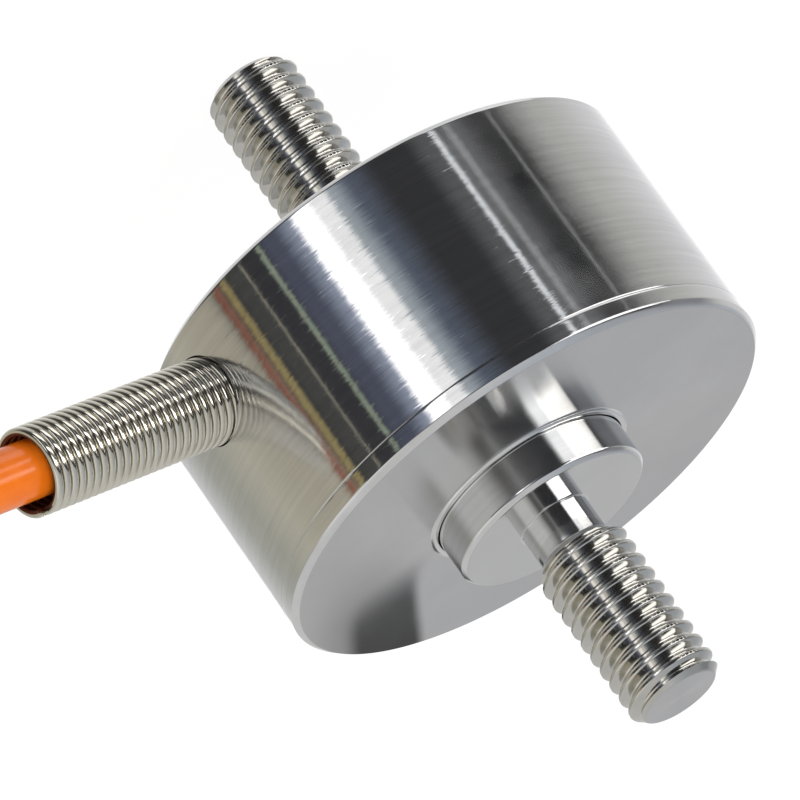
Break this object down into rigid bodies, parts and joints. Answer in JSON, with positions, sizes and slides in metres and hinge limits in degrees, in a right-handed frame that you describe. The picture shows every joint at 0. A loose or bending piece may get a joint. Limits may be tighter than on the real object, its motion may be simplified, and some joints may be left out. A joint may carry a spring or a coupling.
{
  "type": "tension compression load cell",
  "caption": "Round steel load cell with a threaded stud on each end, a raised loading boss, and a spring-guarded side cable; it measures push and pull forces along its axis.",
  "frame": {"origin": "on the load axis, in the plane of the housing's plain mounting face, where the fixed stud starts", "axes": "+Z along the load axis from the fixed stud to the loading stud, +X out along the cable exit"},
  "size_m": [0.0955, 0.06, 0.047],
  "materials": {
    "ground_steel": "fine turned, satin",
    "element_steel": "turned, bright",
    "cover_steel": "fine ground, matt",
    "spring_wire": "polished round wire",
    "gauge_foil": "foil on film",
    "board_laminate": "solder resist",
    "resistor_body": "ceramic",
    "solder_pin_metal": "plated",
    "clamp_brass": "crimped",
    "cable_jacket": "semi-gloss jacket",
    "tie_plastic": "satin",
    "sleeve_plastic": "shrunk sleeve",
    "red_insulation": "insulated core",
    "black_insulation": "insulated core",
    "green_insulation": "insulated core",
    "white_insulation": "insulated core"
  },
  "bodies": {
    "root": {"housing": "ground_steel", "sensing_element": "element_steel", "cover_plate": "cover_steel", "strain_relief_spring": "spring_wire", "strain_gauge_1": "gauge_foil", "strain_gauge_2": "gauge_foil", "strain_gauge_3": "gauge_foil", "strain_gauge_4": "gauge_foil", "gauge_ribbon_1": "gauge_foil", "gauge_ribbon_2": "gauge_foil", "gauge_ribbon_3": "gauge_foil", "gauge_ribbon_4": "gauge_foil", "circuit_board": "board_laminate", "zero_resistor": "resistor_body", "span_resistor": "resistor_body", "temperature_resistor": "resistor_body", "solder_pin_red": "solder_pin_metal", "solder_pin_black": "solder_pin_metal", "solder_pin_green": "solder_pin_metal", "solder_pin_white": "solder_pin_metal", "cable_clamp": "clamp_brass", "cable": "cable_jacket", "cable_coil": "cable_jacket", "cable_tail": "cable_jacket", "cable_tie": "tie_plastic", "end_sleeve": "sleeve_plastic", "core_red": "red_insulation", "lead_red": "red_insulation", "core_black": "black_insulation", "lead_black": "black_insulation", "core_green": "green_insulation", "lead_green": "green_insulation", "core_white": "white_insulation", "lead_white": "white_insulation"}
  },
  "joints": []
}
